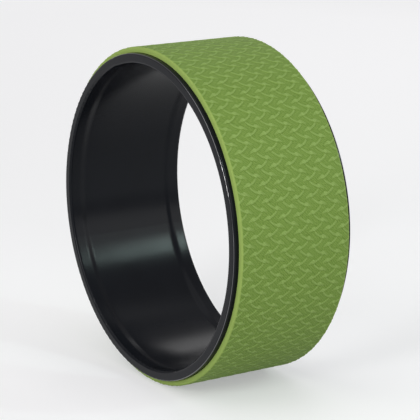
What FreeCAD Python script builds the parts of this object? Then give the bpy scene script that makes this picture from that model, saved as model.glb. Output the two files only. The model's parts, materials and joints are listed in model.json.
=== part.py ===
import FreeCAD, Part
import math
import os
from FreeCAD import Vector

# A yoga wheel: a hollow plastic hoop with a foam mat glued round its tread.
# The wheel's axle direction is Y, its centre is the origin, and it stands upright on -Z.
# The hoop is two half shells, each moulded with its ribs, that meet at mid-width.
# A tongue on each wall of the front half is glued into a groove in the rear half.
# Every piece is drawn with the mat's seam at +X, and the whole wheel is then turned about its axle.

# Overall sizes, in millimetres
wheel_diameter = 330.0
wheel_width = 130.0
rim_depth = 9.7

# Mat: a strip cut to length, bent round the hoop and closed with a butt seam
mat_width = 119.0
mat_thickness = 5.5
mat_corner_radius = 1.5
mat_seam_gap = 0.3
mat_seam_degrees = 160.0
film_thickness = 0.3
film_margin = 2.0

# Hoop walls and rims
outer_wall = 2.8
inner_wall = 2.8
end_wall = 3.0
rim_outer_radius = 1.5
rim_inner_radius = 2.4
lip_width = 11.0
recess_depth = 1.0
recess_run = 8.0

# Ribs across the hollow of each half shell
rib_count = 24
rib_thickness = 2.0
rib_setback = 1.0

# Glued joint between the half shells
tongue_thickness = 1.0
tongue_height = 1.5
bond_line = 0.2

# Length by which a cutting tool runs past the face that it opens
overrun = 1.0

# Places that follow from the sizes
mat_radius = wheel_diameter / 2
mat_inner_radius = mat_radius - mat_thickness
hoop_radius = mat_inner_radius - film_thickness
lip_radius = hoop_radius - rim_depth
wall_radius = lip_radius + recess_depth
half_width = wheel_width / 2
lip_start = half_width - lip_width
recess_start = lip_start - recess_run
cavity_outer = hoop_radius - outer_wall
cavity_inner = wall_radius + inner_wall
lip_cavity_inner = lip_radius + inner_wall
cavity_end = half_width - end_wall
outer_joint_radius = hoop_radius - outer_wall / 2
inner_joint_radius = wall_radius + inner_wall / 2
groove_thickness = tongue_thickness + 2 * bond_line
groove_depth = tongue_height + bond_line

axle = Vector(0, 1, 0)
centre = Vector(0, 0, 0)


class Section:
    """An outline in the XY plane: x is the radius and y the distance from mid-width."""

    def __init__(self, radius, along):
        self.start = Vector(radius, along, 0)
        self.end = self.start
        self.edges = []

    def line(self, radius, along):
        target = Vector(radius, along, 0)
        self.edges.append(Part.LineSegment(self.end, target).toShape())
        self.end = target

    def arc(self, hub_radius, hub_along, radius, along):
        """Add the shorter arc from the current point, about the given hub, to a new point."""
        hub = Vector(hub_radius, hub_along, 0)
        target = Vector(radius, along, 0)
        half_way = (self.end - hub) + (target - hub)
        half_way.normalize()
        middle = hub + half_way * (target - hub).Length
        self.edges.append(Part.Arc(self.end, middle, target).toShape())
        self.end = target

    def revolve(self, degrees=360.0):
        """Close the outline and turn it about the axle, from +X towards -Z."""
        self.line(self.start.x, self.start.y)
        return Part.Face(Part.Wire(self.edges)).revolve(centre, axle, degrees)


def ring(inner_radius, outer_radius, low, high, degrees=360.0):
    section = Section(inner_radius, low)
    section.line(outer_radius, low)
    section.line(outer_radius, high)
    section.line(inner_radius, high)
    return section.revolve(degrees)


def joint(radius, thickness, reach):
    """The solid of a tongue, or of the groove for one, standing on the mid-width plane."""
    inside = radius - thickness / 2
    outside = radius + thickness / 2
    return ring(inside, outside, min(reach, 0), max(reach, 0))


def shell_blank():
    """Half of the hoop as a solid ring, from mid-width to the rim at +Y."""
    section = Section(hoop_radius, 0)

    # Tread, rounded outer edge of the rim, flat rim face and its crisp inner edge
    section.line(hoop_radius, half_width - rim_outer_radius)
    section.arc(hoop_radius - rim_outer_radius, half_width - rim_outer_radius,
                hoop_radius - rim_outer_radius, half_width)
    section.line(lip_radius + rim_inner_radius, half_width)
    section.arc(lip_radius + rim_inner_radius, half_width - rim_inner_radius,
                lip_radius, half_width - rim_inner_radius)

    # Lip, and the S-curve of two equal arcs from the lip to the wall
    section.line(lip_radius, lip_start)
    bend_radius = (recess_run ** 2 + recess_depth ** 2) / (4 * recess_depth)
    section.arc(lip_radius + bend_radius, lip_start,
                lip_radius + recess_depth / 2, lip_start - recess_run / 2)
    section.arc(wall_radius - bend_radius, recess_start, wall_radius, recess_start)
    section.line(wall_radius, 0)
    return section.revolve()


def pocket(degrees):
    """The hollow between two ribs, which follows the S-curve of the inner wall."""
    section = Section(cavity_inner, -overrun)
    section.line(cavity_outer, -overrun)
    section.line(cavity_outer, cavity_end)
    section.line(lip_cavity_inner, cavity_end)
    section.line(lip_cavity_inner, lip_start)
    section.line(cavity_inner, recess_start)
    return section.revolve(degrees)


def ribbed_shell():
    """A half shell without its joint: two walls, the rim and the ribs between them."""
    pitch = 360.0 / rib_count
    rib_degrees = math.degrees(rib_thickness / cavity_outer)
    hollow = pocket(pitch - rib_degrees)
    cuts = [ring(cavity_inner, cavity_outer, -overrun, rib_setback)]
    for index in range(rib_count):
        cut = hollow.copy()
        cut.rotate(centre, axle, index * pitch + rib_degrees / 2)
        cuts.append(cut)
    return shell_blank().cut(cuts)


def rear_half_shell():
    grooves = [joint(outer_joint_radius, groove_thickness, groove_depth),
               joint(inner_joint_radius, groove_thickness, groove_depth)]
    return ribbed_shell().cut(grooves)


def front_half_shell():
    tongues = [joint(outer_joint_radius, tongue_thickness, -tongue_height),
               joint(inner_joint_radius, tongue_thickness, -tongue_height)]
    shell = ribbed_shell().fuse(tongues)
    return shell.mirror(centre, axle)


def seam_bond(radius):
    """The glue that fills a groove round its tongue."""
    groove = joint(radius, groove_thickness, groove_depth)
    return groove.cut(joint(radius, tongue_thickness, tongue_height))


def mat_adhesive():
    reach = mat_width / 2 - film_margin
    return ring(hoop_radius, mat_inner_radius, -reach, reach)


def mat_sector(start_degrees, degrees):
    """A stretch of the mat, counted from the seam, with its two outer edges rounded."""
    edge = mat_width / 2
    corner = edge - mat_corner_radius
    shoulder = mat_radius - mat_corner_radius
    section = Section(mat_inner_radius, -edge)
    section.line(shoulder, -edge)
    section.arc(shoulder, -corner, mat_radius, -corner)
    section.line(mat_radius, corner)
    section.arc(shoulder, corner, shoulder, edge)
    section.line(mat_inner_radius, edge)
    sector = section.revolve(degrees)
    sector.rotate(centre, axle, start_degrees)
    return sector


def mat():
    gap_degrees = math.degrees(mat_seam_gap / mat_radius)
    return mat_sector(gap_degrees / 2, 360.0 - gap_degrees)


def mat_seam_bond():
    gap_degrees = math.degrees(mat_seam_gap / mat_radius)
    return mat_sector(-gap_degrees / 2, gap_degrees)


pieces = {
    "front_half_shell": front_half_shell(),
    "rear_half_shell": rear_half_shell(),
    "outer_seam_bond": seam_bond(outer_joint_radius),
    "inner_seam_bond": seam_bond(inner_joint_radius),
    "mat_adhesive": mat_adhesive(),
    "mat": mat(),
    "mat_seam_bond": mat_seam_bond(),
}

os.makedirs("parts", exist_ok=True)
for name, shape in pieces.items():
    solid = shape.Solids[0]
    if solid.Volume < 0:
        solid = solid.reversed()
    solid.rotate(centre, axle, mat_seam_degrees)
    print(name, "solids", len(shape.Solids), "valid", solid.isValid(), "volume", round(solid.Volume))
    solid.exportStep("parts/" + name + ".step")
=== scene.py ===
import bmesh
import bpy
import json
import math
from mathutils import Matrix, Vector, geometry


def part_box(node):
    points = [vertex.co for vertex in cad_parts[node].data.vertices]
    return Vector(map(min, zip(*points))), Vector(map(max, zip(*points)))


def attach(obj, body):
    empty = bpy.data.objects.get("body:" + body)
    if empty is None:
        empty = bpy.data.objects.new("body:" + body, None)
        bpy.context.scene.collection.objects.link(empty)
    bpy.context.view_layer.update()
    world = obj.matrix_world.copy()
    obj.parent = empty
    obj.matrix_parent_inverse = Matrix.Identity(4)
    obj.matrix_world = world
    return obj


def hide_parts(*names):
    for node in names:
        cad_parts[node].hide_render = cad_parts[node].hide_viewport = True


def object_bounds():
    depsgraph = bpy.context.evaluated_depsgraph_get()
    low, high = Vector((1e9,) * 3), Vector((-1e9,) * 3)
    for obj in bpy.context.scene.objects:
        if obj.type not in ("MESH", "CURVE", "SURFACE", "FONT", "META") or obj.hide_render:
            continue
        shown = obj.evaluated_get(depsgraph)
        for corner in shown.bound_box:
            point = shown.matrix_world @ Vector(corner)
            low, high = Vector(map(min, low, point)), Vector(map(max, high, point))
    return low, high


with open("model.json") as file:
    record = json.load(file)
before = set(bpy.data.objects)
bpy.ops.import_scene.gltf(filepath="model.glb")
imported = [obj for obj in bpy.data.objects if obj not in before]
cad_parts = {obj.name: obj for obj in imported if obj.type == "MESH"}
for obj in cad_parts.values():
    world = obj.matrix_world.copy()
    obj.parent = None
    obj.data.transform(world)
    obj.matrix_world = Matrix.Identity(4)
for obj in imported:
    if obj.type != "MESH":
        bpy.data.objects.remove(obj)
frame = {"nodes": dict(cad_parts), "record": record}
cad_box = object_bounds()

# Hoop: two half shells of moulded black ABS, glued together at mid-width by a tongue and groove.
# Each half came out of a polished steel mould, so its rim and lip are glossy and its edges soft.
# The ribs inside stiffen the double wall and don't show.
hoop_low, hoop_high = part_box("front_half_shell")
hoop_radius = hoop_high[0]
rim_end = -hoop_low[1]


def linear(hex_colour):
    """Turn an sRGB hex colour into linear RGBA."""
    channels = [int(hex_colour[i:i + 2], 16) / 255 for i in (1, 3, 5)]
    return [c / 12.92 if c <= 0.04045 else ((c + 0.055) / 1.055) ** 2.4 for c in channels] + [1.0]


def add(tree, kind, inputs=None, **settings):
    """Add a node with its settings; each input takes a value or the socket that feeds it."""
    node = tree.nodes.new(kind)
    for name, value in settings.items():
        setattr(node, name, value)
    for key, value in (inputs or {}).items():
        if isinstance(value, bpy.types.NodeSocket):
            tree.links.new(value, node.inputs[key])
        else:
            node.inputs[key].default_value = value
    return node


def new_material(name):
    """An empty material and its node tree, ready for a surface."""
    material = bpy.data.materials.new(name)
    material.use_nodes = True
    material.node_tree.nodes.clear()
    return material, material.node_tree


def moulded_black_abs():
    """Moulded ABS: near black with a cool cast, a satin gloss that drifts a little where the melt
    cooled unevenly, and a faint orange-peel skin that breaks up highlights."""
    peel_size = 0.0016
    flow_size = 0.045
    buffed_width = 0.00075
    buffed_core = 0.0006
    material, tree = new_material("moulded_black_abs")
    place = add(tree, "ShaderNodeTexCoord").outputs["Object"]
    flow = add(tree, "ShaderNodeTexNoise", {"Vector": place, "Scale": 1 / flow_size, "Detail": 3.0})
    colour = add(tree, "ShaderNodeMix", {"Factor": flow.outputs["Fac"], "A": linear("#0D0F13"),
                                         "B": linear("#13151A")}, data_type="RGBA")
    gloss = add(tree, "ShaderNodeMapRange", {"Value": flow.outputs["Fac"], "From Min": 0.3, "From Max": 0.7,
                                             "To Min": 0.19, "To Max": 0.24})
    peel = add(tree, "ShaderNodeTexNoise", {"Vector": place, "Scale": 1 / peel_size, "Detail": 2.0})
    bump = add(tree, "ShaderNodeBump", {"Height": peel.outputs["Fac"], "Strength": 0.06, "Distance": 0.0002})

    # The outer corner of each rim was buffed when its flash was trimmed, which left a glossy line there
    parts = add(tree, "ShaderNodeSeparateXYZ", {"Vector": place})
    spoke = add(tree, "ShaderNodeCombineXYZ", {"X": parts.outputs["X"], "Z": parts.outputs["Z"]})
    radius = add(tree, "ShaderNodeVectorMath", {0: spoke.outputs["Vector"]}, operation="LENGTH")
    along = add(tree, "ShaderNodeMath", {0: parts.outputs["Y"]}, operation="ABSOLUTE")
    outermost = add(tree, "ShaderNodeMapRange", {"Value": radius.outputs["Value"],
                                                 "From Min": hoop_radius - buffed_width,
                                                 "From Max": hoop_radius - buffed_core})
    endmost = add(tree, "ShaderNodeMapRange", {"Value": along.outputs[0],
                                               "From Min": rim_end - buffed_width,
                                               "From Max": rim_end - buffed_core})
    buffed = add(tree, "ShaderNodeMath", {0: outermost.outputs["Result"], 1: endmost.outputs["Result"]},
                 operation="MULTIPLY")
    skin = add(tree, "ShaderNodeMix", {"Factor": buffed.outputs[0], "A": gloss.outputs["Result"], "B": 0.12})
    mirror = add(tree, "ShaderNodeMapRange", {"Value": buffed.outputs[0], "To Min": 0.11, "To Max": 1.0})
    plastic = add(tree, "ShaderNodeBsdfPrincipled", {
        "Base Color": colour.outputs["Result"], "Roughness": skin.outputs["Result"], "IOR": 1.54,
        "Specular IOR Level": mirror.outputs["Result"], "Coat Weight": buffed.outputs[0],
        "Coat Roughness": 0.1, "Normal": bump.outputs["Normal"]})
    add(tree, "ShaderNodeOutputMaterial", {"Surface": plastic.outputs["BSDF"]})
    return material


hoop_plastic = moulded_black_abs()
for half in ("front_half_shell", "rear_half_shell"):
    shell = frame["nodes"][half]
    for slot in shell.material_slots:
        slot.material = hoop_plastic

# Seam glue: a thin line of black structural adhesive in each tongue-and-groove joint of the hoop.
# It is squeezed out flush and can't be seen once the halves are closed.


def cured_glue(name, dark, light):
    """Cured adhesive: a smooth skin with slow colour drift from uneven thickness."""
    blotch_size = 0.004
    material, tree = new_material(name)
    place = add(tree, "ShaderNodeTexCoord").outputs["Object"]
    blotch = add(tree, "ShaderNodeTexNoise", {"Vector": place, "Scale": 1 / blotch_size, "Detail": 2.0})
    colour = add(tree, "ShaderNodeMix", {"Factor": blotch.outputs["Fac"], "A": linear(dark),
                                         "B": linear(light)}, data_type="RGBA")
    glue = add(tree, "ShaderNodeBsdfPrincipled", {
        "Base Color": colour.outputs["Result"], "Roughness": 0.45, "IOR": 1.5})
    add(tree, "ShaderNodeOutputMaterial", {"Surface": glue.outputs["BSDF"]})
    return material


black_glue = cured_glue("cured_black_epoxy", "#141416", "#1E1E21")
for joint in ("outer_seam_bond", "inner_seam_bond"):
    for slot in frame["nodes"][joint].material_slots:
        slot.material = black_glue

# Adhesive film: contact cement brushed on the hoop's tread and the back of the mat.
# It shows only as a shadow line under the mat's edges.
film_glue = cured_glue("contact_cement_film", "#8A7B52", "#A39468")
for slot in frame["nodes"]["mat_adhesive"].material_slots:
    slot.material = film_glue

# Mat: a strip of closed-cell TPE foam, embossed by a hot roller with a plaited pattern of ridges.
# It is cut to length, bent round the hoop, glued down and butted at a seam on the far side.
mat_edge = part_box("mat")[1][1]
mat_radius = frame["record"]["size"]["bbox_m"][2] / 2
mat_thickness = 0.0055
corner_radius = 0.0015
emboss_depth = 0.00045
seam_degrees = -160.0
seam_gap = 0.0003
same_point = 1e-7

# One repeat of the pattern holds two ridges, a plain one and its mirror half a repeat lower.
# A ridge starts under a knot of the mirror, bends down to a broad knot at its own origin and runs
# out in a tail on the far side, so that knots and ridges link up into zigzags. The hatched pad
# beside each knot swells a little along its middle line. Its height also paints that line a little paler, a
# painted highlight that leaves the pad's borders by the ridges darker as painted shade.
repeat_across = 0.01620
repeat_round = 0.01572
mirror_knot = Vector((0.00610, -repeat_round / 2))
ridge_bend = [Vector((-0.0092, 0.0049, 0.0)), Vector((-0.0070, 0.0029, 0.0)),
              Vector((-0.0042, -0.0006, 0.0)), Vector((0.0, 0.0, 0.0))]
ridge_tail = [Vector((0.0, 0.0, 0.0)), Vector((0.0016, -0.0001, 0.0)),
              Vector((0.0036, -0.0012, 0.0)), Vector((0.0066, -0.0030, 0.0))]
bend_shares = (0.0, 0.33, 0.67, 0.83, 0.93)
tail_shares = (0.14, 0.33, 0.8, 1.0)
start_slope = 0.0002
ridge_half_widths = (0.0006, 0.0010, 0.0011, 0.0011, 0.0012, 0.0023, 0.0023, 0.0016, 0.0010, 0.0006)
ridge_height_shares = (0.0, 0.8, 0.8, 0.8, 0.85, 1.0, 1.0, 0.75, 0.55, 0.0)
section_shares = ((-1.0, 0.0), (-0.7, 1.0), (0.7, 1.0), (1.0, 0.0))
pad_line = [Vector((0.0024, 0.0032)), Vector((0.0050, 0.0025)),
            Vector((0.0070, 0.0006)), Vector((0.0090, -0.0018))]
# The pad's rise also sets its height share, which paints its middle line paler: painted highlight, with
# painted shade left along its borders.
pad_rise = 0.2


def curve_point(corners, share):
    """The point of a Bezier curve at a share of its way, by repeated blending of its corners."""
    while len(corners) > 1:
        corners = [near.lerp(far, share) for near, far in zip(corners, corners[1:])]
    return corners[0]


def ridge_rows(knot, side):
    """Rows of points across one ridge, from the foot of its start to the end of its tail."""
    line = [curve_point(ridge_bend, share) for share in bend_shares]
    line += [curve_point(ridge_tail, share) for share in tail_shares]
    line.insert(0, line[0] + (line[0] - line[1]).normalized() * start_slope)
    rows = []
    for index, point in enumerate(line):
        before = line[max(index - 1, 0)]
        after = line[min(index + 1, len(line) - 1)]
        along = (after - before).normalized()
        across = Vector((-along.y, along.x, 0.0))
        row = []
        for place_share, rise_share in section_shares:
            foot = point + across * place_share * ridge_half_widths[index]
            rise = rise_share * ridge_height_shares[index] * emboss_depth
            row.append(Vector((knot.x + side * foot.x, knot.y + foot.y, rise)))
        rows.append(row if side > 0 else row[::-1])
    return rows


def ridge_outline(rows):
    """The foot of a ridge as an anticlockwise loop."""
    near = [row[0] for row in rows]
    far = [row[-1] for row in reversed(rows)]
    return near + rows[-1][1:-1] + far + rows[0][-2:0:-1]


def emboss_repeat():
    """A mesh of one repeat: its two ridges, and the floor between them and their neighbours."""
    knots = ((Vector((0.0, 0.0)), 1), (mirror_knot, -1))
    neighbours = range(-2, 3)
    points = []
    outlines = []
    pad_points = set()
    for column in neighbours:
        for row in neighbours:
            shift = Vector((column * repeat_across, row * repeat_round))
            for knot, side in knots:
                loop = ridge_outline(ridge_rows(knot + shift, side))
                outlines.append(range(len(points), len(points) + len(loop)))
                points.extend(point.to_2d() for point in loop)
                pad_points.update(range(len(points), len(points) + len(pad_line)))
                points.extend(knot + shift + Vector((side * place.x, place.y)) for place in pad_line)
    filled = geometry.delaunay_2d_cdt(points, [], outlines, 0, same_point)
    floor_points, _, floor_faces, sources, _, ridge_of_face = filled

    mesh = bmesh.new()
    height = mesh.verts.layers.float.new("height")
    corners = {}
    for face, inside in zip(floor_faces, ridge_of_face):
        middle = sum((floor_points[i] for i in face), Vector((0.0, 0.0))) / len(face)
        in_repeat = 0 <= middle.x < repeat_across and 0 <= middle.y < repeat_round
        if inside or not in_repeat:
            continue
        for i in face:
            if i not in corners:
                corners[i] = mesh.verts.new(floor_points[i].to_3d())
                # The pad's middle points rise and take a height share, which paints them paler as a painted
                # highlight.
                if pad_points.issuperset(sources[i]):
                    corners[i].co.z = pad_rise * emboss_depth
                    corners[i][height] = pad_rise
        mesh.faces.new([corners[i] for i in face])
    for knot, side in knots:
        rows = [[mesh.verts.new(point) for point in row] for row in ridge_rows(knot, side)]
        # The height share kept on each ridge vertex also paints the ridge paler in the foam's colour, a
        # painted highlight.
        for row in rows:
            for vertex in row:
                vertex[height] = vertex.co.z / emboss_depth
        for near, far in zip(rows, rows[1:]):
            for i in range(len(near) - 1):
                mesh.faces.new((near[i], far[i], far[i + 1], near[i + 1]))
    bmesh.ops.recalc_face_normals(mesh, faces=mesh.faces)
    tile = bpy.data.meshes.new("emboss_repeat")
    mesh.to_mesh(tile)
    mesh.free()
    return tile


def emboss_tree():
    """Lay the repeat over a flat sheet, join the tiles and lean the rows as the roller did."""
    weld_distance = 0.00002
    tree = bpy.data.node_groups.new("plaited_emboss", "GeometryNodeTree")
    for name, kind in (("Repeat", "NodeSocketObject"), ("Tiles across", "NodeSocketInt"),
                       ("Tiles round", "NodeSocketInt"), ("Repeat across", "NodeSocketFloat"),
                       ("Repeat round", "NodeSocketFloat"), ("First knot", "NodeSocketVector"),
                       ("Lean", "NodeSocketFloat"), ("Foam", "NodeSocketMaterial")):
        tree.interface.new_socket(name, in_out="INPUT", socket_type=kind)
    tree.interface.new_socket("Geometry", in_out="OUTPUT", socket_type="NodeSocketGeometry")
    given = add(tree, "NodeGroupInput").outputs
    steps_across = add(tree, "ShaderNodeMath", {0: given["Tiles across"], 1: 1.0}, operation="SUBTRACT")
    steps_round = add(tree, "ShaderNodeMath", {0: given["Tiles round"], 1: 1.0}, operation="SUBTRACT")
    size_across = add(tree, "ShaderNodeMath", {0: steps_across.outputs[0], 1: given["Repeat across"]},
                      operation="MULTIPLY")
    size_round = add(tree, "ShaderNodeMath", {0: steps_round.outputs[0], 1: given["Repeat round"]},
                     operation="MULTIPLY")
    grid = add(tree, "GeometryNodeMeshGrid", {"Size X": size_across.outputs[0],
                                              "Size Y": size_round.outputs[0],
                                              "Vertices X": given["Tiles across"],
                                              "Vertices Y": given["Tiles round"]})
    placed = add(tree, "GeometryNodeTransform", {"Geometry": grid.outputs["Mesh"],
                                                 "Translation": given["First knot"]})
    tile = add(tree, "GeometryNodeObjectInfo", {"Object": given["Repeat"]})
    laid = add(tree, "GeometryNodeInstanceOnPoints", {"Points": placed.outputs["Geometry"],
                                                      "Instance": tile.outputs["Geometry"]})
    real = add(tree, "GeometryNodeRealizeInstances", {"Geometry": laid.outputs["Instances"]})
    joined = add(tree, "GeometryNodeMergeByDistance", {"Geometry": real.outputs["Geometry"],
                                                       "Distance": weld_distance})
    place = add(tree, "GeometryNodeInputPosition").outputs["Position"]
    kept = add(tree, "GeometryNodeStoreNamedAttribute", {"Geometry": joined.outputs["Geometry"],
                                                         "Name": "flat", "Value": place},
               data_type="FLOAT_VECTOR")
    parts = add(tree, "ShaderNodeSeparateXYZ", {"Vector": place})
    leaned = add(tree, "ShaderNodeMath", {0: parts.outputs["X"], 1: given["Lean"]}, operation="MULTIPLY")
    offset = add(tree, "ShaderNodeCombineXYZ", {"Y": leaned.outputs[0]})
    moved = add(tree, "GeometryNodeSetPosition", {"Geometry": kept.outputs["Geometry"],
                                                  "Offset": offset.outputs["Vector"]})
    coated = add(tree, "GeometryNodeSetMaterial", {"Geometry": moved.outputs["Geometry"],
                                                   "Material": given["Foam"]})
    add(tree, "NodeGroupOutput", {"Geometry": coated.outputs["Geometry"]})
    return tree


def embossed_tpe_foam():
    """Embossed TPE foam: a dry olive green with a fine hatch and the grain of its closed cells. The ridges
    and the pads' middles are painted paler by their height, a painted highlight, and the hatch shows less on
    the ridges than on the floor."""
    # The hatch is drawn coarser than the foam's own, so that it shows. Its spacing is measured across the
    # mat, where diagonal bands of scale 1 repeat every tau / 10.
    hatch_spacing = 0.0026
    hatch_scale = math.tau / (10 * hatch_spacing)
    cell_size = 0.0007
    cloud_size = 0.02
    material, tree = new_material("embossed_tpe_foam")
    place = add(tree, "ShaderNodeTexCoord").outputs["Object"]
    flat = add(tree, "ShaderNodeAttribute", attribute_name="flat").outputs["Vector"]
    height = add(tree, "ShaderNodeAttribute", attribute_name="height").outputs["Fac"]
    clouds = add(tree, "ShaderNodeTexNoise", {"Vector": place, "Scale": 1 / cloud_size, "Detail": 3.0})
    cells = add(tree, "ShaderNodeTexNoise", {"Vector": place, "Scale": 1 / cell_size, "Detail": 2.0})
    hatch = add(tree, "ShaderNodeTexWave", {"Vector": flat, "Scale": hatch_scale, "Distortion": 7.0,
                                            "Detail": 2.0, "Detail Scale": 1.5}, bands_direction="DIAGONAL")
    floor = add(tree, "ShaderNodeMix", {"Factor": hatch.outputs["Fac"], "A": linear("#587325"),
                                        "B": linear("#718C3D")}, data_type="RGBA")
    cloudy = add(tree, "ShaderNodeMapRange", {"Value": clouds.outputs["Fac"], "From Min": 0.3,
                                              "From Max": 0.7, "To Max": 0.5})
    drift = add(tree, "ShaderNodeMix", {"Factor": cloudy.outputs["Result"], "A": floor.outputs["Result"],
                                        "B": linear("#678336")}, data_type="RGBA")
    # Painted highlight: a paler colour with less hatch, mixed in below by the height share, stands for light
    # catching the ridges and the pads' middles.
    painted_ridge_light = add(tree, "ShaderNodeMix", {"Factor": hatch.outputs["Fac"], "A": linear("#779148"),
                                         "B": linear("#859E55")}, data_type="RGBA")
    colour = add(tree, "ShaderNodeMix", {"Factor": height, "A": drift.outputs["Result"],
                                         "B": painted_ridge_light.outputs["Result"]}, data_type="RGBA")
    grain = add(tree, "ShaderNodeMath", {0: hatch.outputs["Fac"], 1: cells.outputs["Fac"]}, operation="ADD")
    bump = add(tree, "ShaderNodeBump", {"Height": grain.outputs[0], "Strength": 0.25, "Distance": 0.00015})
    foam = add(tree, "ShaderNodeBsdfPrincipled", {
        "Base Color": colour.outputs["Result"], "Roughness": 0.72, "IOR": 1.48,
        "Specular IOR Level": 0.35, "Normal": bump.outputs["Normal"]})
    add(tree, "ShaderNodeOutputMaterial", {"Surface": foam.outputs["BSDF"]})
    return material


def embossed_sheet(foam):
    """The flat sheet as it leaves the roller, before it is cut: across is X and round is Y."""
    tiles_across = 9
    tiles_round = 69
    first_knot = Vector((-0.00306, 0.05381, 0.0))
    lean = -0.028
    tile = bpy.data.objects.new("emboss_repeat", emboss_repeat())
    sheet = bpy.data.objects.new("embossed_sheet", bpy.data.meshes.new("embossed_sheet"))
    for thing in (tile, sheet):
        bpy.context.scene.collection.objects.link(thing)
    tree = emboss_tree()
    layer = sheet.modifiers.new("plaited_emboss", "NODES")
    layer.node_group = tree
    values = {"Repeat": tile, "Tiles across": tiles_across, "Tiles round": tiles_round,
              "Repeat across": repeat_across, "Repeat round": repeat_round, "First knot": first_knot,
              "Lean": lean, "Foam": foam}
    for socket in tree.interface.items_tree:
        if socket.in_out == "INPUT":
            layer[socket.identifier] = values[socket.name]
    bpy.context.view_layer.update()
    ready = sheet.evaluated_get(bpy.context.evaluated_depsgraph_get())
    mesh = bpy.data.meshes.new_from_object(ready)
    for thing in (sheet, tile):
        bpy.data.objects.remove(thing)
    return mesh


def cut(mesh, place, outward, clear):
    """Cut the sheet across at a place; clear takes away what lies outward of the cut."""
    on_cut = 1e-6
    everything = mesh.verts[:] + mesh.edges[:] + mesh.faces[:]
    bmesh.ops.bisect_plane(mesh, geom=everything, dist=on_cut, plane_co=place, plane_no=outward,
                           clear_outer=clear)


def wrapped_mat(foam, cut_foam):
    """Cut the embossed sheet to a strip, give it its thickness and wrap it round the hoop."""
    sharp_degrees = 22.0
    flat_mesh = embossed_sheet(foam)
    flat_mesh.materials.clear()
    for coat in (foam, cut_foam):
        flat_mesh.materials.append(coat)
    face_coat, side_coat = 0, 1
    mesh = bmesh.new()
    mesh.from_mesh(flat_mesh)

    strip_start = mat_radius * math.radians(seam_degrees) + seam_gap / 2
    strip_end = mat_radius * math.radians(seam_degrees + 360.0) - seam_gap / 2
    cut(mesh, Vector((0.0, strip_start, 0.0)), Vector((0.0, -1.0, 0.0)), True)
    cut(mesh, Vector((0.0, strip_end, 0.0)), Vector((0.0, 1.0, 0.0)), True)
    rounding_shares = (0.0, 0.35, 0.7, 0.9, 1.0)
    for side in (-1.0, 1.0):
        for share in rounding_shares:
            place = side * (mat_edge - corner_radius * (1 - share))
            cut(mesh, Vector((place, 0.0, 0.0)), Vector((side, 0.0, 0.0)), share == 1.0)
    for face in mesh.faces:
        on_side = abs(face.calc_center_median().x) > mat_edge - corner_radius
        face.material_index = side_coat if on_side else face_coat
    for vertex in mesh.verts:
        into = max(abs(vertex.co.x) - (mat_edge - corner_radius), 0.0)
        vertex.co.z -= corner_radius - math.sqrt(max(corner_radius ** 2 - into ** 2, 0.0))

    # Sides: the cut edge goes straight down to the back of the strip
    back = emboss_depth - mat_thickness
    rim = [edge for edge in mesh.edges if edge.is_boundary]
    walls = bmesh.ops.extrude_edge_only(mesh, edges=rim)["geom"]
    lower = [item for item in walls if isinstance(item, bmesh.types.BMVert)]
    for vertex in lower:
        vertex.co.z = back
    for item in walls:
        if isinstance(item, bmesh.types.BMFace):
            item.material_index = side_coat

    # Back: filled between the two long sides, so that it can bend round the hoop
    number = {vertex: i for i, vertex in enumerate(lower)}
    sides = [edge for edge in walls if isinstance(edge, bmesh.types.BMEdge)]
    loop = [[number[v] for v in edge.verts] for edge in sides if all(v in number for v in edge.verts)]
    filled = geometry.delaunay_2d_cdt([v.co.to_2d() for v in lower], loop, [], 1, same_point)
    back_faces, sources = filled[2], filled[3]
    for face in back_faces:
        mesh.faces.new([lower[sources[i][0]] for i in reversed(face)])
    bmesh.ops.recalc_face_normals(mesh, faces=mesh.faces)

    # Wrap: round becomes the angle about the axle, counted from +X towards +Z
    floor_radius = mat_radius - emboss_depth
    for vertex in mesh.verts:
        angle = vertex.co.y / mat_radius
        radius = floor_radius + vertex.co.z
        vertex.co = Vector((radius * math.cos(angle), vertex.co.x, radius * math.sin(angle)))
    mesh.to_mesh(flat_mesh)
    mesh.free()
    flat_mesh.shade_smooth()
    flat_mesh.set_sharp_from_angle(angle=math.radians(sharp_degrees))
    piece = bpy.data.objects.new("embossed_mat", flat_mesh)
    bpy.context.scene.collection.objects.link(piece)
    return piece


def cut_tpe_foam():
    """Cut TPE foam along the strip's edge: drawn paler and yellower than the pressed face, with the grain
    of its closed cells."""
    cell_size = 0.0006
    material, tree = new_material("cut_tpe_foam")
    place = add(tree, "ShaderNodeTexCoord").outputs["Object"]
    cells = add(tree, "ShaderNodeTexNoise", {"Vector": place, "Scale": 1 / cell_size, "Detail": 3.0})
    colour = add(tree, "ShaderNodeMix", {"Factor": cells.outputs["Fac"], "A": linear("#7F954B"),
                                         "B": linear("#879D52")}, data_type="RGBA")
    bump = add(tree, "ShaderNodeBump", {"Height": cells.outputs["Fac"], "Strength": 0.2, "Distance": 0.0002})
    foam = add(tree, "ShaderNodeBsdfPrincipled", {
        "Base Color": colour.outputs["Result"], "Roughness": 0.85, "IOR": 1.48,
        "Specular IOR Level": 0.25, "Normal": bump.outputs["Normal"]})
    add(tree, "ShaderNodeOutputMaterial", {"Surface": foam.outputs["BSDF"]})
    return material


mat = wrapped_mat(embossed_tpe_foam(), cut_tpe_foam())
mat.data.name = "embossed_mat"
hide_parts("mat")
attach(mat, "root")

# Mat seam: a thin bead of glue, tinted to the foam, that closes the butt joint of the strip's ends.
# It is wiped flush with the mat's face before it cures.
seam_glue = cured_glue("tinted_seam_glue", "#5F7A38", "#6B8641")
for slot in frame["nodes"]["mat_seam_bond"].material_slots:
    slot.material = seam_glue

# Studio: a pale seamless floor, a key lamp high in front, a strip lamp under it that draws a line on
# the rim, another behind on the right that draws a highlight in the bore, four weak fills and a dim
# white room. None of it belongs to the wheel.
floor_height = cad_box[0][2]
floor_reach = 8.0
key_place = Vector((0.25, -1.9, 1.5))


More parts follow.
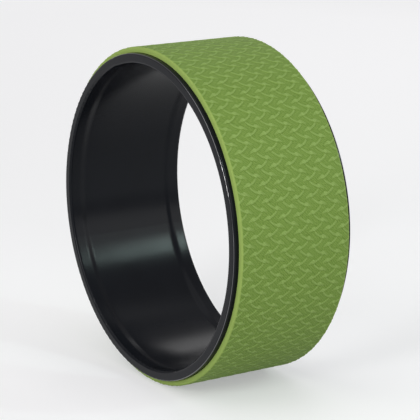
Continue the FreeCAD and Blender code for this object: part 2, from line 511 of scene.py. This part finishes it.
def pale_floor():
    """Matt grey paper with a faint mottling. Where it is seen or mirrored it also glows a little, which
    makes it pale and evens out the light that falls off away from the lamps; shadows stay."""
    mottle_size = 0.6
    glow_start, glow_full = 1.1, 1.75
    far_start, far_full = 2.2, 4.0
    material, tree = new_material("pale_paper_floor")
    place = add(tree, "ShaderNodeTexCoord").outputs["Object"]
    mottle = add(tree, "ShaderNodeTexNoise", {"Vector": place, "Scale": 1 / mottle_size, "Detail": 2.0})
    colour = add(tree, "ShaderNodeMix", {"Factor": mottle.outputs["Fac"], "A": linear("#CACACA"),
                                         "B": linear("#CCCCCC")}, data_type="RGBA")
    paper = add(tree, "ShaderNodeBsdfPrincipled", {"Base Color": colour.outputs["Result"], "Roughness": 0.9})
    key_foot = Vector((key_place.x, key_place.y, floor_height))
    away = add(tree, "ShaderNodeVectorMath", {0: place, 1: key_foot}, operation="DISTANCE")
    near_glow = add(tree, "ShaderNodeMapRange", {"Value": away.outputs["Value"], "From Min": glow_start,
                                                 "From Max": glow_full, "To Max": 0.375})
    far_glow = add(tree, "ShaderNodeMapRange", {"Value": away.outputs["Value"], "From Min": far_start,
                                                "From Max": far_full, "To Max": 0.18})
    paler = add(tree, "ShaderNodeMath", {0: near_glow.outputs["Result"], 1: far_glow.outputs["Result"]},
                operation="ADD")
    rays = add(tree, "ShaderNodeLightPath")
    mirrored = add(tree, "ShaderNodeMath", {0: rays.outputs["Is Glossy Ray"],
                                            1: rays.outputs["Is Transmission Ray"]}, operation="MAXIMUM")
    seen = add(tree, "ShaderNodeMath", {0: rays.outputs["Is Camera Ray"], 1: mirrored.outputs[0]},
               operation="MAXIMUM")
    lift = add(tree, "ShaderNodeMath", {0: seen.outputs[0], 1: paler.outputs[0]}, operation="MULTIPLY")
    bright = add(tree, "ShaderNodeEmission", {"Color": linear("#F6F7F9"), "Strength": lift.outputs[0]})
    both = add(tree, "ShaderNodeAddShader", {0: paper.outputs["BSDF"], 1: bright.outputs["Emission"]})
    add(tree, "ShaderNodeOutputMaterial", {"Surface": both.outputs["Shader"]})
    return material


corners = [(x, y, floor_height) for x, y in ((-1, -1), (1, -1), (1, 1), (-1, 1))]
floor_mesh = bpy.data.meshes.new("paper_floor")
floor_mesh.from_pydata([(x * floor_reach, y * floor_reach, z) for x, y, z in corners], [], [(0, 1, 2, 3)])
floor_mesh.materials.append(pale_floor())
paper_floor = bpy.data.objects.new("paper_floor", floor_mesh)
bpy.context.scene.collection.objects.link(paper_floor)


def softbox(name, place, width, height, power, colour="#FFFFFF", mirrored=True):
    """An area lamp that faces the wheel; one that isn't mirrored gives no highlights."""
    lamp = bpy.data.lights.new(name, "AREA")
    lamp.color = linear(colour)[:3]
    lamp.shape = "RECTANGLE"
    lamp.size = width
    lamp.size_y = height
    lamp.energy = power
    holder = bpy.data.objects.new(name, lamp)
    holder.location = place
    holder.visible_glossy = mirrored
    holder.rotation_euler = (-place).to_track_quat("-Z", "Y").to_euler()
    bpy.context.scene.collection.objects.link(holder)


softbox("front_key", key_place, width=2.2, height=2.2, power=17.5)
softbox("front_strip", Vector((0.95, -1.87, 0.78)), width=0.4, height=0.7, power=17.0)
softbox("right_strip", Vector((1.50, 1.26, 1.26)), width=0.05, height=0.45, power=6.2, colour="#E2FFF9")
softbox("right_fill", Vector((1.75, 1.37, 0.80)), width=1.6, height=1.0, power=8.2)
softbox("camera_fill", Vector((1.9, -1.2, 0.20)), width=1.0, height=0.6, power=9.8, mirrored=False)
softbox("overhead_fill", Vector((0.1, 0.2, 2.2)), width=1.8, height=1.8, power=6.0)
softbox("back_fill", Vector((-1.51, 1.26, 1.30)), width=0.8, height=0.6, power=2.6)

room = bpy.data.worlds.new("white_room")
room.use_nodes = True
room.node_tree.nodes.clear()
glow = add(room.node_tree, "ShaderNodeBackground", {"Color": linear("#F8F5F6"), "Strength": 0.50})
add(room.node_tree, "ShaderNodeOutputWorld", {"Surface": glow.outputs["Background"]})
bpy.context.scene.world = room
bpy.context.scene.view_settings.view_transform = "Standard"

# Camera: the photograph's long lens, a little above the wheel's centre and to its right.
# Its place was fitted to the outlines of the rims and the mat.
camera_azimuth = math.radians(57.991)
camera_elevation = math.radians(14.140)
camera_distance = 1.9215
camera_aim = Vector((0.00476, 0.00737, -0.00052))
camera_lens = 167.96
camera = bpy.data.objects.new("camera", bpy.data.cameras.new("camera"))
camera.data.sensor_width = 36.0
camera.data.lens = camera_lens
camera.location = camera_distance * Vector((
    math.cos(camera_elevation) * math.sin(camera_azimuth),
    -math.cos(camera_elevation) * math.cos(camera_azimuth),
    math.sin(camera_elevation)))
camera.rotation_euler = (camera_aim - camera.location).to_track_quat("-Z", "Y").to_euler()
bpy.context.scene.collection.objects.link(camera)
bpy.context.scene.camera = camera
